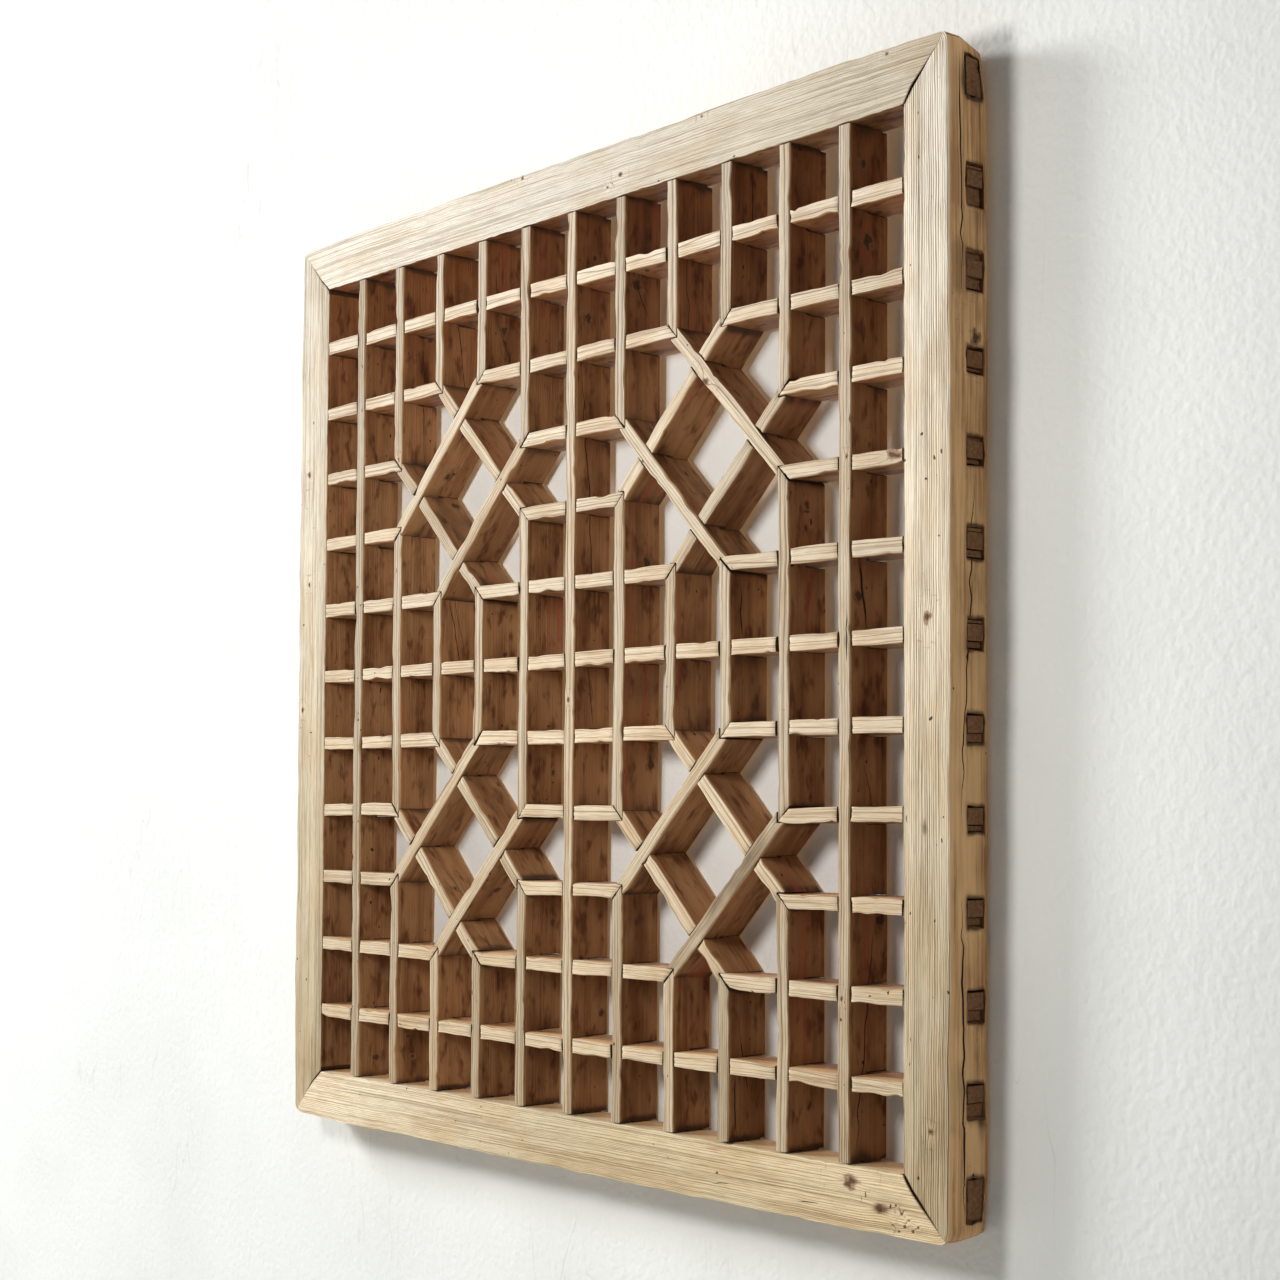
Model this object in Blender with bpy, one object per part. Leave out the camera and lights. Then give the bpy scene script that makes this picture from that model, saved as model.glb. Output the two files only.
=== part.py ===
"""A square wooden lattice panel that hangs flat on a wall.

A mitred frame holds upright bars and crossbars that are half-lapped where they cross.
Four diamonds, each of four crossed diagonals, break the grid, and every bar that stops at a
diamond is mitred to its neighbour, with the diagonal's notched end fitted over that corner.

Metres, +Z up. The back lies on the wall, y = 0, and the front faces -Y.
The origin is the middle of the top rail's back face.
"""

import math

import bmesh
import bpy
from mathutils import Vector

# Grid of bars
CELLS = 12
CELL_CLEAR = 0.0475
BAR_WIDTH = 0.0105
BAR_DEPTH = 0.036
BAR_RECESS = 0.002

# Diamonds: the bar before each diamond's centre, counted from the left and from the top
DIAMOND_BARS = (3, 8)

# Frame
FRAME_WIDTH = 0.041
FRAME_DEPTH = 0.038
BAND_WIDTH = 0.010
BAND_DEPTH = 0.002
CORNER_RADIUS = 0.012
CORNER_STEPS = 6
ARRIS = 0.0018

# Tenons and wedges
TENON_SETBACK = 0.0175
TENON_THICKNESS = 0.0145
TENON_END_GAP = 0.0005
WEDGE_HEIGHT = 0.0065
WEDGE_LENGTH = 0.028
RAIL_TENON_FROM_INSIDE = 0.0005
RAIL_TENON_FROM_OUTSIDE = 0.0145
RAIL_TENON_ROOT = 0.008

# Clearances
FIT = 0.0003
LAP_GAP = 0.0006
MITRE_GAP = 0.0008
SHOULDER_GAP = 0.0005
CUTTER_EXTRA = 0.001

# Wood colours
FRAME_COLOUR = (0.56, 0.43, 0.27)
BAR_COLOUR = (0.60, 0.46, 0.29)
DIAGONAL_COLOUR = (0.58, 0.42, 0.25)
WOOD_ROUGHNESS = 0.8

PITCH = CELL_CLEAR + BAR_WIDTH
HALF_OPENING = (CELLS * CELL_CLEAR + (CELLS - 1) * BAR_WIDTH) / 2
HALF_OUTSIDE = HALF_OPENING + FRAME_WIDTH
CENTRE_Z = -(HALF_OPENING + FRAME_WIDTH / 2)

FRONT = -FRAME_DEPTH
BAR_FRONT = FRONT + BAR_RECESS
BAR_BACK = BAR_FRONT + BAR_DEPTH
BAR_MIDDLE = (BAR_FRONT + BAR_BACK) / 2
TENON_FRONT = FRONT + TENON_SETBACK
TENON_BACK = TENON_FRONT + TENON_THICKNESS

HALF_BAR = BAR_WIDTH / 2
TENON_LENGTH = FRAME_WIDTH - TENON_END_GAP
WEDGE_SLOPE = WEDGE_HEIGHT / WEDGE_LENGTH
MITRE_SHIFT = MITRE_GAP / 2 * math.sqrt(2)
TINY = 1e-6

DIAMOND_CENTRES = [(column + 0.5, row + 0.5) for row in DIAMOND_BARS for column in DIAMOND_BARS]
UPRIGHT_PIECES = ("_top", "_middle", "_bottom")
CROSSBAR_PIECES = ("_left", "_middle", "_right")


def clear_scene():
    for obj in list(bpy.data.objects):
        bpy.data.objects.remove(obj)


def wood(name, colour):
    material = bpy.data.materials.new(name + "_wood")
    material.use_nodes = True
    shader = material.node_tree.nodes["Principled BSDF"]
    shader.inputs["Base Color"].default_value = (*colour, 1)
    shader.inputs["Roughness"].default_value = WOOD_ROUGHNESS
    shader.inputs["Metallic"].default_value = 0
    return material


def new_object(name, bm, colour=None, location=(0, 0, 0), turn=0):
    """An object from a bmesh, turned about Y by so many degrees. With no colour it is a cutter."""
    bmesh.ops.recalc_face_normals(bm, faces=bm.faces[:])
    mesh = bpy.data.meshes.new(name)
    bm.to_mesh(mesh)
    bm.free()
    obj = bpy.data.objects.new(name, mesh)
    obj.location = location
    obj.rotation_euler = (0, math.radians(turn), 0)
    bpy.context.scene.collection.objects.link(obj)
    if colour:
        mesh.materials.append(wood(name, colour))
    else:
        obj.hide_render = True
        obj.display_type = "WIRE"
    return obj


def boolean(obj, operation, other):
    modifier = obj.modifiers.new(other.name, "BOOLEAN")
    modifier.operation = operation
    modifier.object = other


def extrude_faces(bm, faces, offset):
    """Makes a closed solid of flat faces by drawing them out along an offset."""
    drawn = bmesh.ops.extrude_face_region(bm, geom=faces)["geom"]
    moved = [item for item in drawn if isinstance(item, bmesh.types.BMVert)]
    bmesh.ops.translate(bm, verts=moved, vec=offset)


def add_prism(bm, outline, offset):
    """Adds the solid that one outline makes when it is drawn out along an offset."""
    face = bm.faces.new([bm.verts.new(point) for point in outline])
    extrude_faces(bm, [face], offset)


def line_x(column):
    return (column - CELLS / 2) * PITCH


def line_z(row):
    return CENTRE_Z + (CELLS / 2 - row) * PITCH


# Straight bars. Each is drawn along its own X, its width along its own Z, and then turned.


def end_outline(at, outwards, tenoned, wedged):
    """The outline's points at one end, from front to back, where the end looks outwards."""
    if not tenoned:
        return [(at, BAR_FRONT), (at, BAR_BACK)]
    tip = at + outwards * (SHOULDER_GAP + TENON_LENGTH)
    front_root = [(tip - outwards * WEDGE_LENGTH, TENON_FRONT)] if wedged else []
    back_root = [(tip - outwards * WEDGE_LENGTH, TENON_BACK)] if wedged else []
    tenon_front = [(at, TENON_FRONT), *front_root, (tip, TENON_FRONT)]
    tenon_back = [(tip, TENON_BACK), *back_root, (at, TENON_BACK)]
    return [(at, BAR_FRONT), *tenon_front, *tenon_back, (at, BAR_BACK)]


def notches(crossings, face, floor):
    """A lap notch at each crossing, cut from one face of the bar down to its floor."""
    half = HALF_BAR + LAP_GAP
    points = []
    for at in crossings:
        points += [(at - half, face), (at - half, floor), (at + half, floor), (at + half, face)]
    return points


def bar_outline(start, end, crossings, tenoned, lies_behind):
    """The bar seen along its width. A crossbar lies behind the uprights and is notched in front."""
    front_notches = notches(crossings, BAR_FRONT, BAR_MIDDLE + FIT / 2) if lies_behind else []
    back_notches = [] if lies_behind else notches(crossings, BAR_BACK, BAR_MIDDLE - FIT / 2)
    first_end = end_outline(start, -1, tenoned[0], lies_behind)[::-1]
    last_end = end_outline(end, 1, tenoned[1], lies_behind)
    return first_end + front_notches + last_end + back_notches[::-1]


def bar_bmesh(first, last, corners, gap, lies_behind, open_ends=False):
    """A bar between two grid lines. A corner is 0 at the frame, or the side its mitred partner is on."""
    tenoned = [corner == 0 for corner in corners]
    start = SHOULDER_GAP - HALF_OPENING if tenoned[0] else line_x(first) + gap
    end = HALF_OPENING - SHOULDER_GAP if tenoned[1] else line_x(last) - gap
    crossings = [line_x(line) for line in range(first + 1, last)]
    bm = bmesh.new()
    outline = bar_outline(start, end, crossings, tenoned, lies_behind)
    bm.faces.new([bm.verts.new((x, y, -HALF_BAR)) for x, y in outline])
    tips = [at for at, framed in ((-HALF_OUTSIDE + TENON_END_GAP, tenoned[0]),
                                  (HALF_OUTSIDE - TENON_END_GAP, tenoned[1])) if framed]
    if lies_behind:
        for tip in tips:
            root = tip - math.copysign(WEDGE_LENGTH, tip)
            pair = [vert for vert in bm.verts if abs(vert.co.x - root) < TINY]
            bmesh.ops.connect_verts(bm, verts=pair)
    extrude_faces(bm, bm.faces[:], (0, 0, BAR_WIDTH))
    for at, way, corner in ((start, 1, corners[0]), (end, -1, corners[1])):
        mitred = [vert for vert in bm.verts if corner and abs(vert.co.x - at) < TINY]
        for vert in mitred:
            vert.co.x += way * corner * vert.co.z
        if open_ends:
            faces = [face for face in bm.faces if all(vert in mitred for vert in face.verts)]
            bmesh.ops.delete(bm, geom=faces, context="FACES_ONLY")
    if lies_behind:
        for vert in bm.verts:
            if vert.co.z < 0 and any(abs(vert.co.x - tip) < TINY for tip in tips):
                vert.co.z -= WEDGE_HEIGHT
    return bm


def stretches(line, across_first):
    """Where one grid line has wood, as (first, last, corners). Each corner says which side its mitre is on.

    across_first is the index of the coordinate that the line's own number is compared with.
    """
    breaks = []
    for centre in DIAMOND_CENTRES:
        away = line - centre[across_first]
        along = centre[1 - across_first]
        side = 1 if away > 0 else -1
        if abs(away) == 0.5:
            breaks.append((int(along - 1.5), int(along + 1.5), side))
        elif abs(away) == 1.5:
            breaks.append((int(along - 0.5), int(along + 0.5), side))
    pieces = []
    first, first_corner = 0, 0
    for stop, go_on, side in sorted(breaks):
        pieces.append((first, stop, (first_corner, side)))
        first, first_corner = go_on, side
    pieces.append((first, CELLS, (first_corner, 0)))
    return pieces


def upright(name, column, first, last, corners):
    bm = bar_bmesh(first, last, corners, MITRE_SHIFT, False)
    return new_object(name, bm, BAR_COLOUR, (line_x(column), 0, CENTRE_Z), 90)


def crossbar(name, row, first, last, corners):
    """A row counts downwards and Z upwards, so a mitre's side changes sign."""
    bm = bar_bmesh(first, last, [-side for side in corners], MITRE_SHIFT, True)
    return new_object(name, bm, BAR_COLOUR, (0, 0, line_z(row)))


def ring_lines():
    """The two pairs of lines whose middle stretches close into one mitred ring at the centre."""
    return (DIAMOND_BARS[0] + 2, DIAMOND_BARS[1] - 1), (DIAMOND_BARS[0] + 1, DIAMOND_BARS[1])


def centre_ring():
    """The tall ring between the diamonds: four bars mitred into one closed piece."""
    columns, rows = ring_lines()
    bm = bmesh.new()
    sides = [(column, 0, rows, False) for column in columns]
    sides += [(row, 1, columns, True) for row in rows]
    for line, across_first, (first, last), lies_behind in sides:
        corners = next(ends for a, b, ends in stretches(line, across_first) if (a, b) == (first, last))
        if lies_behind:
            corners = [-side for side in corners]
        part = bar_bmesh(first, last, corners, 0, lies_behind, open_ends=True)
        for vert in part.verts:
            x, y, z = vert.co
            if lies_behind:
                vert.co = (x, y, z + line_z(line))
            else:
                vert.co = (z + line_x(line), y, CENTRE_Z - x)
        mesh = bpy.data.meshes.new("ring_side")
        part.to_mesh(mesh)
        part.free()
        bm.from_mesh(mesh)
        bpy.data.meshes.remove(mesh)
    bmesh.ops.remove_doubles(bm, verts=bm.verts[:], dist=TINY)
    return new_object("centre_ring", bm, BAR_COLOUR)


def named_stretches(name, line, across_first, piece_names):
    pieces = stretches(line, across_first)
    suffixes = piece_names if len(pieces) > 1 else ("",)
    return [(f"{name}_{line}{suffix}", *piece) for suffix, piece in zip(suffixes, pieces)]


def grid_bars():
    columns, rows = ring_lines()
    for line in range(1, CELLS):
        for name, first, last, corners in named_stretches("upright", line, 0, UPRIGHT_PIECES):
            if line not in columns or (first, last) != rows:
                upright(name, line, first, last, corners)
        for name, first, last, corners in named_stretches("crossbar", line, 1, CROSSBAR_PIECES):
            if line not in rows or (first, last) != columns:
                crossbar(name, line, first, last, corners)


# Diamonds


def diamond(name, column, row):
    """Four crossed diagonals as one flat outline with a square hole, drawn out to the bars' depth."""
    centre = Vector((line_x(column), 0, line_z(row)))
    bm = bmesh.new()
    apart = PITCH / math.sqrt(2)
    long_end = 2 * apart
    reach = math.sqrt(2) * (HALF_BAR + FIT)
    tip = long_end - (reach - HALF_BAR)
    notch = long_end - reach

    def vertex(along, across):
        """A point in the diamond's own axes, which stand at 45 degrees to the grid."""
        offset = Vector((along - across, 0, along + across)) / math.sqrt(2)
        return bm.verts.new(centre + offset + Vector((0, BAR_FRONT, 0)))

    near, far = apart - HALF_BAR, apart + HALF_BAR
    for quarter in range(4):
        cos, sin = ((1, 0), (0, 1), (-1, 0), (0, -1))[quarter]

        def place(along, across):
            return vertex(along * cos - across * sin, along * sin + across * cos)

        crossing = [(near, near), (far, near), (far, far), (near, far)]
        between = [(near, -near), (far, -near), (far, near), (near, near)]
        right_arm = [(far, near), (tip, near), (notch, apart), (tip, far), (far, far)]
        upper_arm = [(across, along) for along, across in reversed(right_arm)]
        for points in (crossing, between, right_arm, upper_arm):
            bm.faces.new([place(*point) for point in points])
    bmesh.ops.remove_doubles(bm, verts=bm.verts[:], dist=TINY)
    extrude_faces(bm, bm.faces[:], (0, BAR_DEPTH, 0))
    return new_object(name, bm, DIAGONAL_COLOUR)


def diamonds():
    names = ("diamond_upper_left", "diamond_upper_right", "diamond_lower_left", "diamond_lower_right")
    for name, (column, row) in zip(names, DIAMOND_CENTRES):
        diamond(name, column, row)


# Frame. Each member is drawn along its own X with its own Z outwards from the opening's edge.


def frame_blank():
    """The frame's outside form: a plate with round corners and eased edges, which trims every member."""
    bm = bmesh.new()
    outline = []
    for corner in range(4):
        for step in range(CORNER_STEPS + 1):
            angle = math.radians(90) * (corner + step / CORNER_STEPS)
            middle = math.radians(45 + 90 * corner)
            reach = (HALF_OUTSIDE - CORNER_RADIUS) * math.sqrt(2)
            x = reach * math.cos(middle) + CORNER_RADIUS * math.cos(angle)
            z = reach * math.sin(middle) + CORNER_RADIUS * math.sin(angle)
            outline.append((x, FRONT, z + CENTRE_Z))
    add_prism(bm, outline, (0, FRAME_DEPTH, 0))
    blank = new_object("frame_blank", bm)
    easing = blank.modifiers.new("eased_edges", "BEVEL")
    easing.width = ARRIS
    easing.segments = 2
    easing.limit_method = "ANGLE"
    easing.angle_limit = math.radians(60)
    return blank


def member_bmesh():
    """A mitred length with the shallow band along its inner front edge, larger than the blank elsewhere."""
    top = FRAME_WIDTH + CUTTER_EXTRA
    ahead = FRONT - CUTTER_EXTRA
    band_end = BAND_WIDTH * (1 + CUTTER_EXTRA / BAND_DEPTH)
    behind = CUTTER_EXTRA
    section = [(behind, 0), (FRONT + BAND_DEPTH, 0), (ahead, band_end), (ahead, top), (behind, top)]
    bm = bmesh.new()
    add_prism(bm, [(-1, y, z) for y, z in section], (2, 0, 0))
    for vert in bm.verts:
        vert.co.x *= HALF_OPENING + vert.co.z - MITRE_SHIFT
    return bm


def mortise(bm, along, half_width, wedge_side):
    """A hole right through a member for one tenon. A wedge widens it outwards on one side."""
    half = half_width + FIT
    low, high = -CUTTER_EXTRA, FRAME_WIDTH + CUTTER_EXTRA
    outline = [(-half, low), (half, low), (half, high), (-half, high)]
    if wedge_side:
        root = TENON_LENGTH - WEDGE_LENGTH
        widest = half + WEDGE_SLOPE * (high - root)
        outline = [(-half, low), (half, low), (half, root), (widest, high), (-half, high)]
        outline = [(wedge_side * x, z) for x, z in outline]
    front = TENON_FRONT - FIT
    points = [(along + x, front, z) for x, z in outline]
    add_prism(bm, points, (0, TENON_THICKNESS + 2 * FIT, 0))


def rail_tenons(name, location, turn):
    """Both ends' tenons, which pass through the stiles. Each starts inside the rail it belongs to."""
    cutter = bmesh.new()
    low, high = RAIL_TENON_FROM_INSIDE, FRAME_WIDTH - RAIL_TENON_FROM_OUTSIDE
    for way in (-1, 1):
        root = way * (HALF_OPENING - RAIL_TENON_ROOT)
        tip = way * (HALF_OUTSIDE - TENON_END_GAP)
        outline = [(root, low), (tip, low), (tip, high), (root, high)]
        add_prism(cutter, [(x, TENON_FRONT, z) for x, z in outline], (0, TENON_THICKNESS, 0))
    return new_object(name + "_tenons", cutter, None, location, turn)


def frame_member(name, blank, location, turn, is_rail, wedge_side):
    member = new_object(name, member_bmesh(), FRAME_COLOUR, location, turn)
    cutter = bmesh.new()
    for line in range(1, CELLS):
        mortise(cutter, line_x(line), HALF_BAR, wedge_side)
    if not is_rail:
        tenon_width = FRAME_WIDTH - RAIL_TENON_FROM_INSIDE - RAIL_TENON_FROM_OUTSIDE
        middle = HALF_OPENING + RAIL_TENON_FROM_INSIDE + tenon_width / 2
        for way in (-1, 1):
            mortise(cutter, way * middle, tenon_width / 2, 0)
    boolean(member, "INTERSECT", blank)
    if is_rail:
        boolean(member, "UNION", rail_tenons(name, location, turn))
    boolean(member, "DIFFERENCE", new_object(name + "_mortises", cutter, None, location, turn))
    return member


def frame():
    blank = frame_blank()
    frame_member("top_rail", blank, (0, 0, CENTRE_Z + HALF_OPENING), 0, True, 0)
    frame_member("bottom_rail", blank, (0, 0, CENTRE_Z - HALF_OPENING), 180, True, 0)
    frame_member("left_stile", blank, (-HALF_OPENING, 0, CENTRE_Z), -90, False, -1)
    frame_member("right_stile", blank, (HALF_OPENING, 0, CENTRE_Z), 90, False, 1)


clear_scene()
frame()
grid_bars()
centre_ring()
diamonds()
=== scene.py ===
"""The looks of the wooden lattice panel: old dry softwood, scrubbed pale in front and brown inside.

Every bar, diagonal and frame member is a mesh of its own, with worn edges, raised grain and open joints.
Each is made in its own axes: s along the grain, y from front to back, w across. Metres.
"""

import math
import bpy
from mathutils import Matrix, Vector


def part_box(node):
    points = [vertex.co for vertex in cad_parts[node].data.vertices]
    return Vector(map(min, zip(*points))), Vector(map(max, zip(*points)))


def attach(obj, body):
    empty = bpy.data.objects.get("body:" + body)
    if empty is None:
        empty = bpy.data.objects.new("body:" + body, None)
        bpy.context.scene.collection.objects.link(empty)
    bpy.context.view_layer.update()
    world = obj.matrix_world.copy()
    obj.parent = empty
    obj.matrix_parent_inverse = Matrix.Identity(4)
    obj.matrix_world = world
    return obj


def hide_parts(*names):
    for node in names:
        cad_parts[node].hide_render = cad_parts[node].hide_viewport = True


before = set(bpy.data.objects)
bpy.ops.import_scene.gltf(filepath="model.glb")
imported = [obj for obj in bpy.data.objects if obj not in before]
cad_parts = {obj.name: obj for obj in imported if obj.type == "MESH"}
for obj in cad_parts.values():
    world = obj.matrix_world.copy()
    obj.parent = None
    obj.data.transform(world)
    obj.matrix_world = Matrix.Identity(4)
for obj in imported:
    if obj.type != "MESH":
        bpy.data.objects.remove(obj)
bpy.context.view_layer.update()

import zlib

import bmesh
import bpy
import numpy as np
from mathutils import Matrix, Vector

# Sizes read from the frame
BAR_LOW, BAR_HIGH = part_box("upright_6")
STILE_LOW, STILE_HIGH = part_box("right_stile")
HALF_BAR = (BAR_HIGH.x - BAR_LOW.x) / 2
BAR_FRONT, BAR_BACK = BAR_LOW.y, BAR_HIGH.y
BAR_MIDDLE = (BAR_FRONT + BAR_BACK) / 2
PITCH = (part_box("upright_11")[0].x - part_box("upright_1")[0].x) / 10
HALF_OPENING, HALF_OUTSIDE = STILE_LOW.x, STILE_HIGH.x
FRAME_WIDTH = HALF_OUTSIDE - HALF_OPENING
FRAME_FRONT, FRAME_BACK = STILE_LOW.y, STILE_HIGH.y
FRAME_DEPTH = FRAME_BACK - FRAME_FRONT
CENTRE_Z = (STILE_LOW.z + STILE_HIGH.z) / 2
TENON_TIP = (BAR_HIGH.z - BAR_LOW.z) / 2
CELLS = round(2 * HALF_OPENING / PITCH)
LINES = (np.arange(1, CELLS) - CELLS / 2) * PITCH

MM = 0.001
SAME = 1e-6  # closer than this is the same place

# Joints, as the solids have them
TENON_FRONT = FRAME_FRONT + 0.0175
TENON_BACK = TENON_FRONT + 0.0145
TENON_MIDDLE = (TENON_FRONT + TENON_BACK) / 2
TENON_HALF = (TENON_BACK - TENON_FRONT) / 2
RAIL_TENON = (0.0005, 0.0265)
BAND_WIDTH = 0.01
BAND_DEPTH = 0.002
LAP_GAP = 0.0006
SHOULDER_GAP = 0.0005
FIT = 0.0003

WEDGE_LENGTH = 0.018
WEDGE_PLAY = 0.0021
LEAST_WEDGE = 0.0014

# Mesh steps
STEP = 0.0038
BAR_ACROSS = 0.001
BAR_THROUGH = 0.0045
FRAME_ACROSS = 0.00055
FRAME_THROUGH = 0.0024
SHARP_ANGLE = math.radians(50)

# The tables down to BITES are in millimetres

# How far above and below its middle each crossbar's mortise reaches on the stiles' outer sides, top to bottom
MORTISE_REACH = (
    (9, 18), (11, 14), (7, 9), (9, 10), (9.5, 11.5), (9, 11), (6.4, 12.4), (6, 10.5), (6, 11.8), (6.5, 13.5), (6, 15),
)

# Half of each mitre's gap, at its ends and more at its middle, for the member's low and high ends
MITRE_GAPS = {
    "top_rail": ((0.4, 0.2), (0.4, 1.4)),
    "bottom_rail": ((1.0, 0.8), (0.6, 0.3)),
    "left_stile": ((0.5, 0.2), (0.4, 0.1)),
    "right_stile": ((0.4, 1.3), (1.0, 0.8)),
}

# The outer corners' worn radii, and how far each corner has worn down at its back, likewise
CORNER_RADII = {"top_rail": (11, 10), "bottom_rail": (11, 15), "left_stile": (15, 11), "right_stile": (10, 11)}
BACK_WEAR = {"top_rail": (1, 6), "bottom_rail": (3, 1), "left_stile": (1, 1), "right_stile": (6, 3)}

# Marks that stand out on one piece, in its own axes: side, place along, place across and radius
KNOTS = {
    "left_stile": (("front", -28, 33, 2), ("front", 181, 26.3, 2.2), ("front", 83, 24.4, 1.8)),
    "right_stile": (("front", -9, 21.5, 3), ("front", 313, 25, 2), ("high", -187, -13, 4.5)),
    "bottom_rail": (("front", -298, 10, 5), ("front", -324, 24.6, 3.2), ("front", -343, 25, 1),
                    ("front", -349, 29, 0.9), ("front", -346, 33, 1.1), ("front", -353, 35.5, 0.9),
                    ("front", -338, 20.5, 0.9), ("front", -341, 37, 1), ("front", -357, 32, 0.8),
                    ("front", -335, 33.5, 0.7)),
    "top_rail": (("front", -60, 38.5, 1.6), ("front", 60, 15, 2), ("front", 150, 38, 1.2), ("front", 330, 37, 1.3),
                 ("front", 45, 9, 1)),
    "diagonal_upper_right_falling_1": (("front", -26, -4, 3),),
    "crossbar_4_right": (("front", 335, 1, 4.5),),
    "upright_6": (("high", -262, -22, 4.5), ("front", 31, -1, 1.6), ("high", 228, -25, 4)),
    "upright_10_bottom": (("high", 312, -14, 4),),
    "upright_11": (("high", -265, -19.4, 5.2), ("front", 236, -1.5, 1.5), ("front", -120, 2, 1.4)),
    "upright_2_top": (("front", -180, 1, 1.4),),
    "upright_7_top": (("high", -277, -24, 6),),
}
# Side, both ends' places along, both ends' places across and width
CRACKS = {
    "upright_11": (("high", (-56, -6), (-28.5, -20), 0.9), ("high", (180, 345), (-12, -30), 0.5),
                   ("front", (-20, 16), (3.5, 2), 0.6)),
    "upright_6": (("high", (-235, -10), (-30, -13), 0.5),),
    "upright_9_middle": (("high", (-45, -5), (-26, -23), 0.6),),
    "upright_9_bottom": (("high", (295, 338), (-31, -27), 0.6),),
    "right_stile": (("high", (-375, -215), (-27, -25.5), 0.7), ("high", (-110, 130), (-13, -27.5), 0.6),
                    ("high", (165, 372), (-26, -23.5), 0.9)),
    "bottom_rail": (("front", (-270, -250), (28, 29), 0.3), ("front", (-184, -165), (27.5, 28.5), 0.3)),
}
# Side, place along, place across, reach, and how dark and how red, which are shares
STAINS = {
    "right_stile": (("front", 123, 20, 5, 0.9, 0.2),),
    "bottom_rail": (("front", -164, 7, 6.5, 0.1, 0.9), ("front", -335, 20, 16, 0.45, 0.1),
                    ("front", -300, 9, 7.5, 0.9, 0.1), ("front", -324, 24.6, 5, 0.8, 0.0)),
    "upright_11": (("high", -262, -20, 11, 0.0, 1.2), ("front", 2, 2, 5, 0.7, 0.0)),
    "crossbar_4_right": (("front", 339, 0, 6, 0.7, 0.3),),
    "diagonal_lower_right_rising_2": (("front", 0, 0, 200, 0.46, 0.15),),
}
# The side's way across, place along, length and depth
BITES = {
    "upright_7_top": ((-1, -318, 10, 2.4), (-1, -300, 6, 1)),
    "upright_11": ((-1, 0, 10, 1.4), (1, -6, 6, 1.6), (1, 6, 10, 0.8)),
    "crossbar_4_right": ((1, 339, 6, 2), (-1, 341, 5, 1.4)),
    "crossbar_11": ((-1, 336, 8, 1.6),),
    "upright_10_middle": ((1, 10, 10, 1.2),),
}

# How much lighter or darker a member's front and its outer side are, at its low end, middle and high end. Partly
# tone, partly
# painted light: the right stile's outer side is painted lighter for light from the right, and the bottom rail's
# middle is painted darker, as painted shade against the near lamp's pool of light.
TONES_AND_PAINTED_LIGHT = {
    "top_rail": ((0.06, -0.1, -0.15), (0.0, 0.0, 0.0)),
    "bottom_rail": ((0.06, -0.13, 0.12), (0.0, 0.0, 0.0)),
    "left_stile": ((-0.16, -0.03, -0.01), (0.0, 0.0, 0.0)),
    "right_stile": ((0.01, 0.0, -0.22), (0.24, 0.12, 0.25)),
}
LIGHTNESS = {"crossbar": 0.16, "upright": -0.02, "diagonal": 0.03}
BLEACH = {"diagonal_lower_right_rising_2": 0.84, "diagonal_lower_right_falling_2": 0.85}


# What the back and the mortises' walls are held to, and how far a rail's colour moves from the top tint towards the
# foot tint
# along it: painted light, so that a rail is paler and bluer at its left end, where the light is strongest.
PLAIN_GRIME_AND_SHADE = 0.15
BACK_LIGHTNESS = 0.12
BACK_BLEACH = 0.34
RAIL_PAINTED_LIGHT = 0.4


# Random shapes


def seeded(name):
    return np.random.default_rng(zlib.crc32(name.encode()))


def eased(share):
    return share * share * (3 - 2 * share)


def drift(rng, at, spacing, size):
    """A smooth random curve read at each place. Its bends are about a spacing apart."""
    low = at.min() - spacing
    count = int((at.max() - low) / spacing) + 3
    values = rng.normal(0, size, count)
    place = (at - low) / spacing
    index = place.astype(int)
    share = eased(place - index)
    return values[index] * (1 - share) + values[index + 1] * share


def patches(rng, u, v, size_u, size_v):
    """Smooth random patches from -1 to 1 over two coordinates."""
    place_u = (u - u.min()) / size_u
    place_v = (v - v.min()) / size_v
    i, j = place_u.astype(int), place_v.astype(int)
    values = rng.uniform(-1, 1, (i.max() + 2, j.max() + 2))
    a, b = eased(place_u - i), eased(place_v - j)
    near = values[i, j] * (1 - a) + values[i + 1, j] * a
    far = values[i, j + 1] * (1 - a) + values[i + 1, j + 1] * a
    return near * (1 - b) + far * b


def fade(distance, reach):
    """1 at no distance, falling evenly to 0 at the reach."""
    return np.clip(1 - distance / reach, 0, 1)


def bump(distance, reach):
    """1 at no distance, easing to 0 at the reach on both sides."""
    return eased(fade(abs(distance), reach))


def corner_cut(out_u, out_v):
    """The share to take off both distances past a corner's centre, so that the corner turns round."""
    cut = 1 - np.maximum(out_u, out_v) / np.maximum(np.hypot(out_u, out_v), 1e-9)
    return np.where((out_u > 0) & (out_v > 0), cut, 0)


# Meshes of wood


def spaced(stops, step):
    """Grid lines through all the stops, evenly spaced between each two and at most a step apart."""
    stops = sorted(stops)
    lines = [stops[0]]
    for low, high in zip(stops, stops[1:]):
        if high - low > SAME:
            count = math.ceil((high - low) / step - SAME)
            lines.extend(np.linspace(low, high, count + 1)[1:])
    return np.array(lines)


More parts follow.
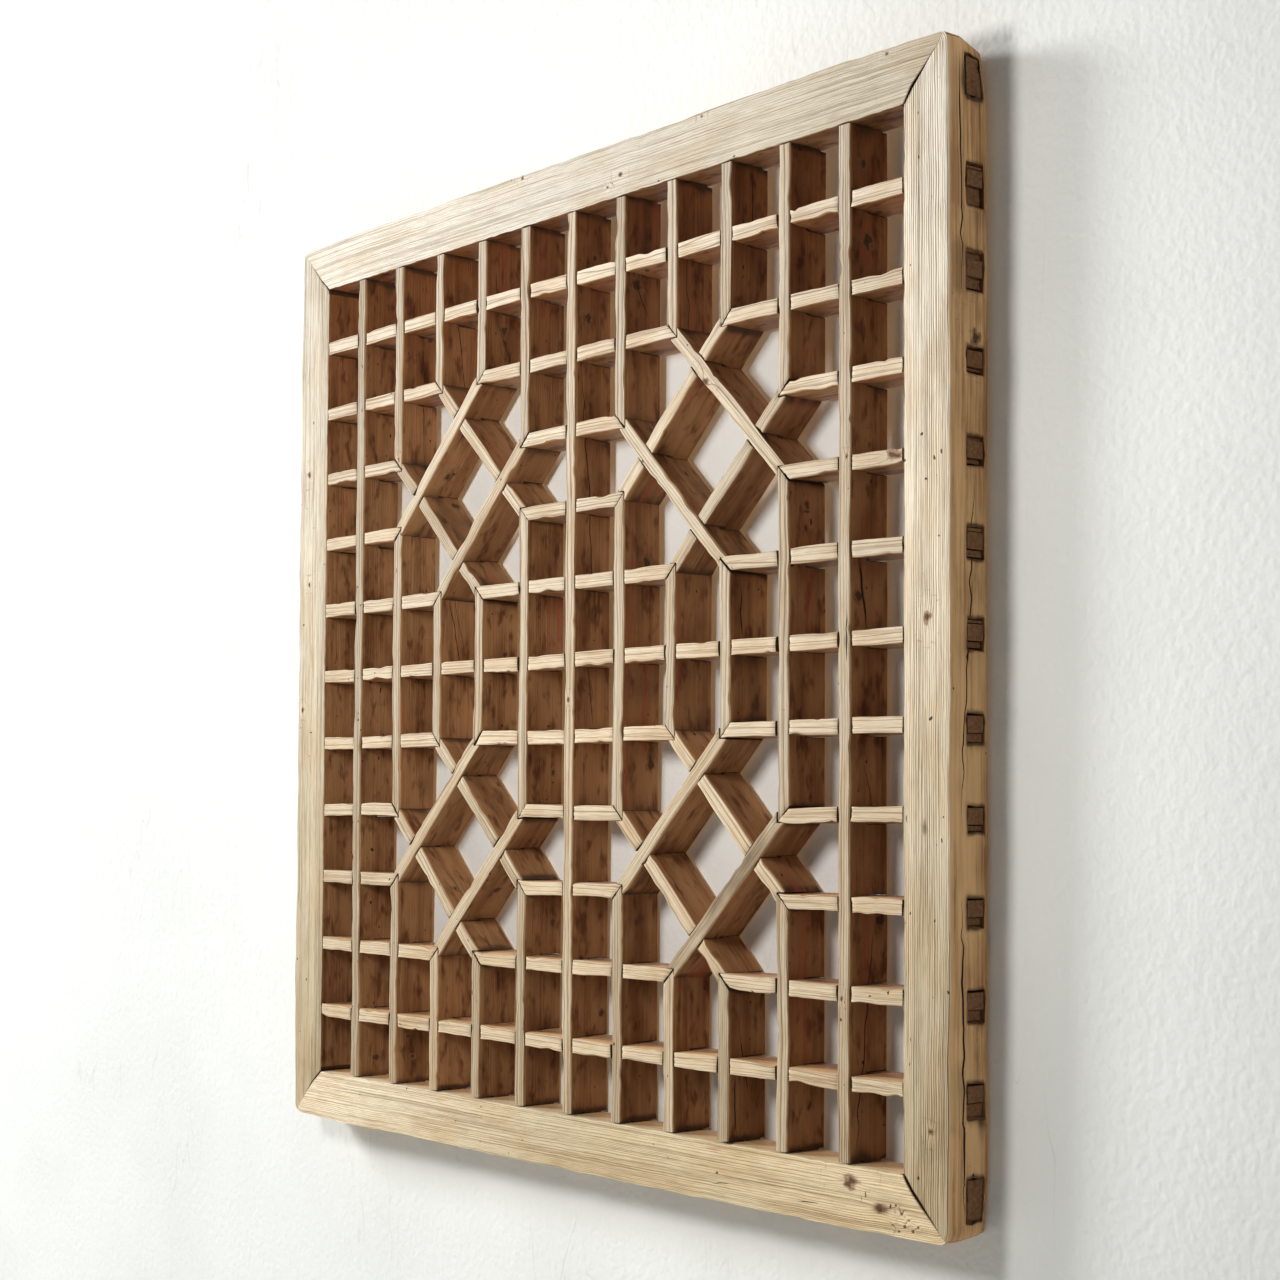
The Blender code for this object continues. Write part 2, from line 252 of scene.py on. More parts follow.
def skin(solid):
    """The outside of the solid cells of a grid: its corners' places in the grid, and quads facing outwards."""
    filled = np.pad(solid, 1).astype(np.int8)
    corners = []
    for axis in range(3):
        u, v = (axis + 1) % 3, (axis + 2) % 3
        change = np.diff(filled, axis=axis)
        for way in (1, -1):
            cells = np.argwhere(change == -way)
            cells[:, (u, v)] -= 1
            quad = np.repeat(cells[:, None], 4, axis=1)
            for corner, (du, dv) in enumerate(((0, 0), (1, 0), (1, 1), (0, 1))[::way]):
                quad[:, corner, u] += du
                quad[:, corner, v] += dv
            corners.append(quad)
    corners = np.concatenate(corners)
    shape = tuple(n + 1 for n in solid.shape)
    keys = np.ravel_multi_index(corners.reshape(-1, 3).T, shape)
    unique, inverse = np.unique(keys, return_inverse=True)
    return np.stack(np.unravel_index(unique, shape), axis=1), inverse.reshape(-1, 4)


def add_object(name, data, location=(0, 0, 0)):
    obj = bpy.data.objects.new(name, data)
    bpy.context.scene.collection.objects.link(obj)
    obj.location = location
    return obj


def mark(wood):
    """Adds the knots, cracks and stains that are named for this piece."""
    for side, at, across, radius in KNOTS.get(wood.name, ()):
        wood.add_knot(side, at * MM, across * MM, radius * MM)
    for side, ends, across, width in CRACKS.get(wood.name, ()):
        wood.add_crack(side, np.array(ends) * MM, np.array(across) * MM, width * MM)
    for side, at, across, reach, dark, red in STAINS.get(wood.name, ()):
        wood.add_stain(side, at * MM, across * MM, reach * MM, dark, red)


def cell_middles(lines):
    return (lines[1:] + lines[:-1]) / 2


class Timber:
    """The surface of one piece of wood, as arrays with one entry for each vertex."""

    def __init__(self, name, s_lines, y_lines, w_lines, solid):
        self.name = name
        self.rng = seeded(name)
        places, self.quads = skin(solid)
        self.s = s_lines[places[:, 0]]
        self.y = y_lines[places[:, 1]]
        self.w = w_lines[places[:, 2]]
        self.front = places[:, 1] == 0
        self.back = places[:, 1] == len(y_lines) - 1
        self.plain = self.back.copy()
        self.low_side = places[:, 2] == 0
        self.high_side = places[:, 2] == len(w_lines) - 1
        count = len(places)
        self.base_w = self.w.copy()
        self.bleach, self.end_grain, self.ring = np.zeros((3, count))
        self.lightness, self.grime, self.redness = np.zeros((3, count))
        self.knot = np.zeros((count, 3))
        self.cracks = []
        self.grain = None

    def face(self, side):
        return {"front": self.front, "low": self.low_side, "high": self.high_side}[side]

    def across(self, side):
        return self.w if side == "front" else self.y

    def keep_grain(self):
        """Fixes the grain to where the wood is now. Each piece comes from another part of a tree."""
        offset = self.rng.uniform(-5, 5, 3)
        self.grain = np.stack([self.s, self.y, self.w], axis=1) + offset

    def add_knot(self, side, at, across, radius):
        here = self.face(side)
        along = (self.s - at) / (radius * 1.25)
        beside = (self.across(side) - across) / radius
        near = here & (np.hypot(along, beside) < 4)
        self.knot[near] = np.stack([along, beside, np.ones(len(along))], axis=1)[near]
        swell = np.exp(-(along ** 2 + beside ** 2) / 4)
        self.ring += np.where(here, 0.9 * swell * np.sign(beside + 1e-9), 0)

    def add_crack(self, side, at, across, width, wander=0.0006):
        """A dark crack along the piece, between two places, from one depth to another."""
        share = np.clip((self.s - at[0]) / (at[1] - at[0]), -0.2, 1.2)
        line = across[0] + (across[1] - across[0]) * share
        line = line + drift(self.rng, self.s, 0.011, wander)
        inside = np.clip(4 * share, 0, 1) * np.clip(4 * (1 - share), 0, 1)
        near = self.face(side)
        distance = np.where(near, (self.across(side) - line) / MM, 9.0)
        opening = np.where(near, inside * width / MM, 0)
        self.cracks.append(np.stack([distance, opening, np.zeros(len(share))], axis=1))

    def add_stain(self, side, at, across, reach, dark, red):
        """A soft stain on one face, longer along the grain."""
        far = np.hypot((self.s - at) / (2 * reach), (self.across(side) - across) / reach)
        mask = np.where(self.face(side), bump(far, 1), 0)
        self.grime += dark * mask
        self.redness += red * mask

    def object(self, material, location, turn, slot):
        angle = math.radians(turn)
        height = location[2] - self.s * math.sin(angle) + self.w * math.cos(angle)
        age = (CENTRE_Z + HALF_OUTSIDE - height) / (2 * HALF_OUTSIDE)
        # Painted light: a rail is paler and bluer at its left end, where the light is strongest, and warmer at its
        # right.
        if self.name.endswith("rail"):
            age += RAIL_PAINTED_LIGHT * self.s * math.cos(angle) / HALF_OUTSIDE
        self.grime[self.plain] = np.minimum(self.grime[self.plain], PLAIN_GRIME_AND_SHADE)
        self.lightness[self.back] = BACK_LIGHTNESS
        self.bleach[self.back] = BACK_BLEACH
        mesh = bpy.data.meshes.new(self.name)
        mesh.from_pydata(np.stack([self.s, self.y, self.w], axis=1).tolist(), [], self.quads.tolist())
        layers = {"grain": self.grain, "knot": self.knot, "ring": self.ring, "bleach": self.bleach}
        layers |= {"tone": np.stack([self.lightness, self.grime, self.redness], axis=1)}
        layers |= {"end_grain": self.end_grain, "age": np.clip(age, 0, 1)}
        layers |= {f"crack_{n}": crack for n, crack in enumerate(self.cracks)}
        for name, values in layers.items():
            kind, entry = ("FLOAT", "value") if values.ndim == 1 else ("FLOAT_VECTOR", "vector")
            layer = mesh.attributes.new(name, kind, "POINT")
            layer.data.foreach_set(entry, values.astype(np.float32).ravel())
        self.thin_out(mesh)
        mesh.shade_smooth()
        mesh.set_sharp_from_angle(angle=SHARP_ANGLE)
        mesh.materials.append(material)
        obj = add_object(self.name, mesh, location)
        obj.rotation_euler = (0, angle, 0)
        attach(obj, "root")
        return obj

    def thin_out(self, mesh):
        """Joins the small faces across the grain on the back and inside mortises, where nothing shows them."""
        bm = bmesh.new()
        bm.from_mesh(mesh)
        bm.verts.ensure_lookup_table()
        spare = []
        for edge in bm.edges:
            a, b = edge.verts[0].index, edge.verts[1].index
            if self.plain[a] and self.plain[b] and abs(self.base_w[a] - self.base_w[b]) < 1e-7:
                if all(all(self.plain[vert.index] for vert in face.verts) for face in edge.link_faces):
                    spare.append(edge)
        bmesh.ops.dissolve_edges(bm, edges=spare, use_verts=True)
        bm.to_mesh(mesh)
        bm.free()


def ease_edges(wood, low, high, front, back, front_radius, back_radius):
    """Rounds the long edges of a rectangular section."""
    middle_w, half_w = (low + high) / 2, (high - low) / 2
    middle_y, half_y = (front + back) / 2, (back - front) / 2
    w, y = wood.w - middle_w, wood.y - middle_y
    radius = np.where(y < 0, front_radius, back_radius)
    out_w = np.maximum(abs(w) - (half_w - radius), 0)
    out_y = np.maximum(abs(y) - (half_y - radius), 0)
    cut = corner_cut(out_w, out_y)
    wood.w -= np.sign(w) * out_w * cut
    wood.y -= np.sign(y) * out_y * cut


def grow_rings(wood, ring_width, lean, bend_radius, wander):
    """Growth rings as a smooth field. The lean is the angle between their spacing and the front face."""
    rng = wood.rng
    pith_w = -bend_radius * math.cos(lean)
    pith_y = bend_radius * math.sin(lean)
    radius = np.hypot(wood.w - pith_w, wood.y - pith_y)
    wood.ring = radius / ring_width + drift(rng, radius, 0.006, 0.45)
    wood.ring += drift(rng, wood.s, 0.15, wander) + drift(rng, wood.s, 0.03, 0.06)


def raise_grain(wood, on_front, on_side):
    """Wears the soft wood of each ring below the hard, on the front and on the sides."""
    worn = (0.5 + 0.5 * np.cos(2 * math.pi * wood.ring)) ** 1.5
    strength = 0.75 + 0.45 * patches(wood.rng, wood.s, wood.w, 0.05, 0.012)
    wood.y += np.where(wood.front, worn * on_front * strength, 0)
    side = worn * on_side * strength
    wood.w += np.where(wood.low_side, side, 0) - np.where(wood.high_side, side, 0)


# Bars and diagonals


def bar_cells(s_lines, y_lines, w_lines, body, crossings, lies_behind, tenons):
    """Which cells of the grid hold wood: the body between its shoulders, its tenons, less its lap notches."""
    s, y = cell_middles(s_lines)[:, None], cell_middles(y_lines)[None, :]
    solid = (s > body[0]) & (s < body[1]) & (y < BAR_BACK)
    tenon = (y > TENON_FRONT) & (y < TENON_BACK)
    if tenons[0]:
        solid |= tenon & (s < body[0])
    if tenons[1]:
        solid |= tenon & (s > body[1])
    for at in crossings:
        notched = (y < BAR_MIDDLE) if lies_behind else (y > BAR_MIDDLE)
        solid &= ~(notched & (abs(s - at) < HALF_BAR + LAP_GAP))
    return np.repeat(solid[:, :, None], len(w_lines) - 1, axis=2)


def blots(wood, size_s, size_y, least):
    """Random spots on the sides, where the patches rise above the least."""
    return np.maximum(patches(wood.rng, wood.s, wood.y, size_s, size_y) - least, 0)


def bar_timber(name, body, ends, crossings, lies_behind):
    """A bar's surface. Each end is "tenon", "mouth", or the side, 1 or -1, that its mitre is cut back on."""
    tenons = [end == "tenon" for end in ends]
    stops = [-TENON_TIP if tenons[0] else body[0], body[0], body[1], TENON_TIP if tenons[1] else body[1]]
    for at in crossings:
        for way in (-1, 1):
            edge = at + way * (HALF_BAR + LAP_GAP)
            stops += [edge, edge + way * 0.0006, edge + way * 0.0015]
    for at, way in zip(body, (1, -1)):
        stops += [at + way * 0.0006, at + way * 0.0015]
    s_lines = spaced(stops, STEP)
    near_edge = [0.0, 0.00035, 0.0009, 0.0017]
    y_stops = [BAR_FRONT + d for d in near_edge] + [TENON_FRONT, BAR_MIDDLE, TENON_BACK, BAR_BACK - 0.0009, BAR_BACK]
    y_lines = spaced(y_stops, BAR_THROUGH)
    w_stops = [way * (HALF_BAR - d) for d in near_edge for way in (-1, 1)] + [0]
    w_lines = spaced(w_stops, BAR_ACROSS)
    solid = bar_cells(s_lines, y_lines, w_lines, body, crossings, lies_behind, tenons)
    wood = Timber(name, s_lines, y_lines, w_lines, solid)
    wood.body = body
    return wood


def front_share(wood, reach):
    """1 at the front face, falling to 0 at the reach behind it."""
    return fade(wood.y - BAR_FRONT, reach)


def open_laps(wood, crossings, lies_behind):
    """Lap notches are cut a little wide and uneven, with their edges worn round."""
    rng = wood.rng
    half = (wood.y <= BAR_MIDDLE + SAME) if lies_behind else (wood.y >= BAR_MIDDLE - SAME)
    for at in crossings:
        for way in (-1, 1):
            past = way * (wood.s - at) - HALF_BAR - LAP_GAP
            near = half & (past > -SAME) & (past < 0.004)
            lens = rng.uniform(0.0, 0.0007) + rng.uniform(-0.0002, 0.0006) * (1 - (wood.w / HALF_BAR) ** 2)
            skew = rng.normal(0, 0.00025) * wood.w / HALF_BAR
            if not lies_behind:
                lens, skew = lens * 0.2 - 0.0003, skew * 0.2
            shift = np.maximum(lens + skew, -0.0003) * (1 - past / 0.004)
            wood.s += np.where(near, way * shift, 0)
            worn = near & wood.front
            wood.y += np.where(worn, 0.0007 * bump(past, 0.0022), 0)
            wood.grime += np.where(near & (past < SAME), np.where(wood.front, 0.45, 2.0), 0)


def cut_end(wood, at, way, end):
    """Turns a square end into a mitre or into a notch that fits over a corner."""
    reach = 0.016
    share = fade(way * (wood.s - at), reach)
    if end == "mouth":
        wood.s -= way * share * abs(wood.w)
    elif end != "tenon":
        wood.s += way * share * end * wood.w
    if end != "tenon":
        worn = wood.front & (share > 0)
        wood.y += np.where(worn, 0.0006 * bump(reach * (1 - share), 0.002), 0)
        wood.grime += np.where(share > 0.999, np.where(wood.front, 0.5, 2.0), 0)


def wear_bar(wood):
    """Uneven width, a bend and a twist, small nicks and the bites that are named for the bar."""
    rng, s = wood.rng, wood.s
    ease = front_share(wood, 0.03) * 0.65 + 0.35
    nicks = []
    for _ in range(rng.poisson((wood.body[1] - wood.body[0]) / 0.035)):
        at = rng.uniform(*wood.body)
        nicks.append((rng.choice((-1, 1)), at, rng.uniform(0.002, 0.014), rng.uniform(0.0004, 0.0016)))
    nicks += [(side, at * MM, length * MM, depth * MM) for side, at, length, depth in BITES.get(wood.name, ())]
    for way in (-1, 1):
        edge = drift(rng, s, 0.045, 0.00032) + drift(rng, s, 0.017, 0.00017) + drift(rng, s, 0.007, 0.00009)
        edge = np.minimum(edge, 0.0006)
        share = np.clip(way * wood.w / HALF_BAR, 0, 1)
        wood.w += way * share * edge * ease
        for side, at, length, depth in nicks:
            if side == way:
                wood.w -= way * share * depth * bump(s - at, length) * front_share(wood, 0.004 + 4 * depth)
    inside = (s > wood.body[0]) & (s < wood.body[1])
    twist = drift(rng, s, 0.11, 0.013)
    behind = wood.y - BAR_MIDDLE
    wood.y -= np.where(inside, twist * wood.w, 0)
    wood.w += np.where(inside, drift(rng, s, 0.1, 0.0004) + twist * behind, 0)
    low = drift(rng, s, 0.06, 0.00025) + drift(rng, s, 0.02, 0.00014)
    wood.y = np.clip(wood.y + low * front_share(wood, 0.02), FRAME_FRONT + 0.0002, FRAME_BACK)


def shrink_shoulders(wood, ends):
    """Dry shoulders have drawn back from the frame unevenly, most at the back."""
    rng = wood.rng
    outside_tenon = (wood.y < TENON_FRONT - SAME) | (wood.y > TENON_BACK + SAME)
    for at, way, end in zip(wood.body, (1, -1), ends):
        if end != "tenon":
            continue
        here = outside_tenon & (abs(wood.s - at) < SAME)
        behind = (wood.y - BAR_FRONT) / (BAR_BACK - BAR_FRONT)
        lean = rng.choice((0.0003, 0.0012, 0.0026), p=(0.4, 0.35, 0.25)) * behind
        ragged = 0.0002 + lean + abs(patches(rng, wood.y, wood.w, 0.006, 0.006)) * rng.uniform(0.0001, 0.0007)
        wood.s += np.where(here, way * ragged, 0)
        wood.grime += np.where(here & ~wood.front, 1.5, 0)


def soil_and_shade_bar(wood, crossings):
    """Grime and painted shade in the corners, red paint and dark smudges, and the knots and cracks that chance gives
    each bar.
    """
    rng = wood.rng
    low, high = wood.body
    length = high - low
    wood.lightness = rng.normal(0, 0.045) + LIGHTNESS[wood.name.split("_")[0]] * wood.front
    inner = 1 - front_share(wood, 0.003)
    # Darker sides near each crossing and each end: partly grime, partly painted shade where the bars meet.
    for at in (*crossings, low, high):
        wood.grime += rng.uniform(0.15, 0.45) * bump(wood.s - at, 0.016) * inner
    # Darker still right at the ends: partly grime, partly a painted contact shadow where the bar ends against another
    # piece.
    for at in (low, high):
        wood.grime += rng.uniform(0.3, 1.0) * bump(wood.s - at, rng.uniform(0.003, 0.008)) * inner
    wood.grime += blots(wood, 0.035, 0.012, 0.35) * 0.9 * inner
    reds = np.maximum(patches(rng, wood.s, wood.y, 0.08, 0.02) + rng.uniform(-0.7, 0.15), 0)
    wood.redness = np.minimum(reds, 0.8) * inner
    for _ in range(rng.poisson(length / 0.16)):
        side = rng.choice(("low", "high"))
        place = rng.uniform(BAR_FRONT + 0.008, BAR_BACK - 0.005)
        wood.add_knot(side, rng.uniform(low + 0.012, high - 0.012), place, rng.uniform(0.0022, 0.0055))
    for _ in range(min(rng.poisson(length / 0.25), 2)):
        at = rng.uniform(low, high)
        reach = rng.uniform(0.015, 0.05)
        across = sorted(rng.uniform(BAR_FRONT + 0.006, BAR_BACK - 0.006, 2))
        side = rng.choice(("low", "high"))
        wood.add_crack(side, (at - reach, at + reach), across, rng.uniform(0.0002, 0.0005))


def finish_bar(wood, crossings, lies_behind, ends):
    """Works a bar's plain surface into old wood."""
    rng = wood.rng
    wood.keep_grain()
    grow_rings(wood, rng.uniform(0.0016, 0.0026), math.radians(rng.uniform(12, 55)), rng.uniform(0.03, 0.08), 0.4)
    depth = wood.y - BAR_FRONT
    wood.bleach = np.where(wood.front, rng.uniform(0.88, 1.0), 0.66 * np.exp(-depth / 0.0012))
    # The crossbars' top faces are paler towards the front: partly weathering, partly painted light falling from
    # above.
    if lies_behind and ends[0] != "mouth":
        wood.bleach += np.where(wood.high_side & ~wood.front, 0.34 * np.exp(-depth / 0.022), 0)
    wood.bleach *= BLEACH.get(wood.name, 1)
    wood.end_grain[abs(wood.s) > TENON_TIP - SAME] = 1
    soil_and_shade_bar(wood, crossings)
    mark(wood)
    open_laps(wood, crossings, lies_behind)
    shrink_shoulders(wood, ends)
    radius = np.clip(0.0008 + drift(rng, wood.s, 0.02, 0.00035), 0.0003, 0.0017)
    body = (wood.s >= wood.body[0] - SAME) & (wood.s <= wood.body[1] + SAME)
    ease_edges(wood, -HALF_BAR, HALF_BAR, BAR_FRONT, BAR_BACK, np.where(body, radius, SAME), 0.0006)
    raise_grain(wood, 0.00042, 0.00008)
    for at, way, end in zip(wood.body, (1, -1), ends):
        cut_end(wood, at, way, end)
    wear_bar(wood)


# Frame members


def frame_lines():
    """Grid lines of a member. In the corners its lines along match those across, so that its mitre fits the grid."""
    w_stops = [0, 0.0004, RAIL_TENON[0], 0.001, 0.0018, BAND_WIDTH, RAIL_TENON[1]]
    w_stops += [FRAME_WIDTH - d for d in (0, 0.0005, 0.0012, 0.0022)]
    w_lines = spaced(w_stops, FRAME_ACROSS)
    s_stops = [-HALF_OPENING, HALF_OPENING]
    for at in LINES:
        s_stops += [at - HALF_BAR - FIT, at + HALF_BAR + FIT]
    s_lines = spaced(s_stops, STEP)
    corner = HALF_OPENING + w_lines[1:]
    s_lines = np.concatenate([-corner[::-1], s_lines, corner])
    y_stops = [FRAME_FRONT + d for d in (0, 0.0004, 0.001, 0.002)] + [TENON_FRONT - FIT, TENON_FRONT]
    y_stops += [TENON_BACK, TENON_BACK + FIT, FRAME_BACK - 0.001, FRAME_BACK]
    return s_lines, spaced(y_stops, FRAME_THROUGH), w_lines


def frame_timber(name, is_rail):
    s_lines, y_lines, w_lines = frame_lines()
    s = cell_middles(s_lines)[:, None, None]
    y = cell_middles(y_lines)[None, :, None]
    w = cell_middles(w_lines)[None, None, :]
    solid = abs(s) < HALF_OPENING + w + SAME
    solid = np.repeat(solid, len(y_lines) - 1, axis=1)
    through = (y > TENON_FRONT - FIT) & (y < TENON_BACK + FIT)
    for at in LINES:
        solid &= ~(through & (abs(s - at) < HALF_BAR + FIT))
    past = abs(s) - HALF_OPENING
    if is_rail:
        tenon = (y > TENON_FRONT) & (y < TENON_BACK) & (w > RAIL_TENON[0]) & (w < RAIL_TENON[1])
        solid |= tenon & (past > 0) & (past < FRAME_WIDTH - 0.0004)
    else:
        solid &= ~(through & (past > RAIL_TENON[0]) & (past < RAIL_TENON[1]))
    wood = Timber(name, s_lines, y_lines, w_lines, solid)
    from_line = abs(wood.s - np.round(wood.s / PITCH) * PITCH)
    in_mortise = (from_line < HALF_BAR + FIT + SAME) & (abs(wood.s) < HALF_OPENING - SAME)
    in_mortise &= (wood.y > TENON_FRONT - FIT - SAME) & (wood.y < TENON_BACK + FIT + SAME)
    wood.plain |= in_mortise & (wood.w > 0.002) & (wood.w < FRAME_WIDTH - 0.004)
    return wood


def fit_mitre(wood):
    """Moves the steps of the mitre onto its slope, and opens it by half a gap at each end of the member."""
    past = abs(wood.s) - HALF_OPENING - wood.w
    step = (past > SAME) & (past < 0.0008) & (abs(wood.s) > HALF_OPENING + SAME)
    way = np.sign(wood.s)
    wood.s -= np.where(step, way * past / 2, 0)
    wood.w += np.where(step, past / 2, 0)
    behind = HALF_OPENING + wood.w - abs(wood.s)
    slope = abs(behind) < 1e-5
    for end, (narrow, wide) in zip((-1, 1), MITRE_GAPS[wood.name]):
        near = (behind > -1e-5) & (way == end)
        open_by = (narrow + wide * np.sin(math.pi * np.clip(wood.w / FRAME_WIDTH, 0, 1) ** 0.6) ** 2) * MM
        open_by = np.maximum(open_by + drift(wood.rng, wood.w, 0.005, 0.00015), 0.0001)
        wood.s -= np.where(near, end * open_by * fade(behind, 0.012), 0)
        here = slope & (way == end)
        wood.y += np.where(here & wood.front, 0.0006, 0)
        wood.grime += np.where(here, np.where(wood.front, 0.5, 3.0), 0)


def round_corners(wood):
    """Rounds the frame's outer corners, seen from the front."""
    centre = HALF_OUTSIDE - np.where(wood.s < 0, *CORNER_RADII[wood.name]) * MM
    out_s = np.maximum(abs(wood.s) - centre, 0)
    out_w = np.maximum(HALF_OPENING + wood.w - centre, 0)
    cut = corner_cut(out_s, out_w)
    wood.s -= np.sign(wood.s) * out_s * cut
    wood.w -= out_w * cut


def fray_mouth(wood, here, size, most):
    """Wears a mortise's front and back edges away unevenly, near the outer side."""
    for edge, out in ((TENON_FRONT - FIT, -1), (TENON_BACK + FIT, 1)):
        beyond = out * (wood.y - edge)
        pull = abs(drift(wood.rng, wood.s, 0.004, size)) * near_outside(wood) * fade(beyond, 0.005)
        wood.y += np.where(here & (beyond > -SAME), out * np.minimum(pull, most), 0)


def near_outside(wood):
    """1 on a member's outer side, falling to 0 at a quarter of its width."""
    return np.clip(wood.w / FRAME_WIDTH * 4 - 3, 0, 1)


def soil_mouth(wood, here, beyond, reach):
    """Dirt on the outer side round a mortise, by the distance beyond its end."""
    beside = np.maximum(abs(wood.y - TENON_MIDDLE) - TENON_HALF, 0)
    far = np.hypot(np.maximum(beyond, 0), beside)
    wood.grime += np.where(here, 0.8 * bump(far, 0.0018) + 0.35 * bump(far, reach), 0)


def open_mortises(wood, downwards):
    """Widens each crossbar's mortise towards the outside, above and below. downwards is the way of s that is down."""
    for line, at in enumerate(LINES, 1):
        row = line if downwards > 0 else CELLS - line
        above, below = MORTISE_REACH[row - 1]
        for way in (-1, 1):
            reach = (below if way == downwards else above) * MM
            past = way * (wood.s - at - way * (HALF_BAR + FIT))
            flare = (reach - HALF_BAR) * np.clip(wood.w / FRAME_WIDTH, 0, 1) ** 2
            share = np.where(past > -SAME, fade(past, 0.017), 0)
            rough = patches(wood.rng, wood.y, wood.w, 0.005, 0.02) * 0.0009 * near_outside(wood)
            in_row = (past > -0.008) & (past < reach + 0.001)
            fray_mouth(wood, in_row & (wood.high_side | (wood.w > FRAME_WIDTH * 0.7)), 0.0009, 0.0012)
            wood.s += way * share * (flare + rough)
            along = way * (wood.s - at)
            soil_mouth(wood, wood.high_side & (along > -SAME), along - reach, 0.007)


def open_rail_mortises(wood):
    """Wears the mouths of the mortises that hold the rails' tenons."""
    past = abs(wood.s) - HALF_OPENING
    way = np.sign(wood.s)
    ragged = np.minimum(abs(drift(wood.rng, wood.y, 0.003, 0.001)) * near_outside(wood), 0.0016)
    beside_tenon = (wood.y > TENON_FRONT - 0.002) & (wood.y < TENON_BACK + 0.002)
    for edge, out in zip(RAIL_TENON, (-1, 1)):
        beyond = out * (past - edge)
        wood.s += np.where((beyond > -SAME) & beside_tenon, way * out * ragged * fade(beyond, 0.005), 0)
    low, high = RAIL_TENON
    fray_mouth(wood, (past > low - 0.001) & (past < high + 0.001), 0.001, 0.0013)
    soil_mouth(wood, wood.high_side, abs(past - (low + high) / 2) - (high - low) / 2, 0.008)


def soil_member(wood):
    """Dark dirt at the joints, blots on the sides, and a lighter or darker front and outer side along the member:
    tone, with painted light on the right stile's outer side and painted shade on the bottom rail's middle.
    """
    rng = wood.rng
    depth = wood.y - FRAME_FRONT
    # Lighter or darker along the member: partly tone, partly painted light and painted shade.
    on_front, on_outer = (np.interp(wood.s / HALF_OUTSIDE, (-1, 0, 1), shades) for shades in TONES_AND_PAINTED_LIGHT[wood.name])
    wood.lightness = np.where(wood.high_side & ~wood.front, on_outer, on_front)
    at_mitre = abs(abs(wood.s) - HALF_OPENING - wood.w)
    wood.grime += 0.5 * bump(at_mitre, 0.0035) * bump(depth, 0.004)
    sides = 1 - fade(depth, 0.003)
    wood.grime += blots(wood, 0.03, 0.01, 0.25) * 0.7 * sides
    wood.redness += blots(wood, 0.06, 0.02, 0.3) * 0.5 * sides


def finish_member(wood, is_rail, downwards):
    """Works a frame member's plain surface into old wood."""
    rng = wood.rng
    wood.keep_grain()
    grow_rings(wood, rng.uniform(0.0014, 0.0017), math.radians(rng.uniform(8, 22)), rng.uniform(0.09, 0.14), 0.18)
    depth = wood.y - FRAME_FRONT
    wood.bleach = np.where(wood.front, 1, 0.6 * np.exp(-depth / 0.001))
    tanned = 0.3 + 0.09 * patches(rng, wood.s, wood.y, 0.05, 0.012)
    wood.bleach += np.where(wood.high_side & ~wood.front, tanned, 0)
    if wood.name == "bottom_rail":
        wood.bleach += np.where(wood.low_side & ~wood.front, 0.85 * np.exp(-depth / 0.03), 0)
    tip = abs(wood.s) > HALF_OUTSIDE - 0.0008
    inside_tenon = (wood.y > TENON_FRONT - SAME) & (wood.y < TENON_BACK + SAME)
    tenon_end = tip & inside_tenon & is_rail
    wood.end_grain[tenon_end] = 1
    to_edge = np.minimum(np.minimum(wood.w - RAIL_TENON[0], RAIL_TENON[1] - wood.w),
                         np.minimum(wood.y - TENON_FRONT, TENON_BACK - wood.y))
    rotten = np.maximum(patches(rng, wood.y, wood.w, 0.005, 0.007), 0)
    wood.grime += np.where(tenon_end, 0.45 + 1.3 * bump(to_edge, 0.0022) + 0.9 * rotten, 0)
    wood.s -= np.where(tenon_end, np.sign(wood.s) * (0.0006 + 0.0022 * rotten), 0)
    soil_member(wood)
    mark(wood)
    fit_mitre(wood)
    round_corners(wood)
    if not is_rail:
        open_mortises(wood, downwards)
        open_rail_mortises(wood)
    band = BAND_DEPTH * fade(wood.w, BAND_WIDTH)
    wood.y += band * fade(depth, 0.012)
    radius = np.clip(0.0014 + drift(rng, wood.s, 0.03, 0.0005), 0.0005, 0.0024)
    back_radius = np.clip(0.0032 + drift(rng, wood.s, 0.04, 0.0008), 0.0012, 0.006)
    ease_edges(wood, 0, FRAME_WIDTH, FRAME_FRONT, FRAME_BACK, radius, back_radius)
    raise_grain(wood, 0.00045, 0.00014)
    low = drift(rng, wood.s, 0.07, 0.00025)
    wood.y += abs(low) * fade(depth, 0.02)
    edge = drift(rng, wood.s, 0.05, 0.0004) + drift(rng, wood.s, 0.015, 0.00025)
    outwards = np.clip(wood.w / FRAME_WIDTH, 0, 1)
    from_corner = np.maximum(HALF_OUTSIDE - abs(wood.s), 0)
    to_corner = bump(from_corner, 0.11)
    from_outside = np.maximum(FRAME_WIDTH - wood.w, 0)
    back_wear = np.where(wood.s < 0, *BACK_WEAR[wood.name]) * MM * np.clip(depth / FRAME_DEPTH * 1.6 - 0.6, 0, 1)
    inwards = back_wear * bump(from_corner, 0.045) * fade(3 * from_outside, FRAME_WIDTH)
    along = back_wear * bump(from_outside, 0.045) * fade(3 * from_corner, FRAME_WIDTH)
    wood.w -= inwards
    wood.s -= np.sign(wood.s) * along
    wood.w -= (abs(edge) + 0.0016 * to_corner) * outwards * np.maximum(fade(depth, 0.06), 0.2)
    ragged = drift(rng, wood.s, 0.012, 0.0004) + drift(rng, wood.s, 0.005, 0.0002)
    wood.w += abs(ragged) * fade(wood.w, 0.004) * fade(depth, 0.01)


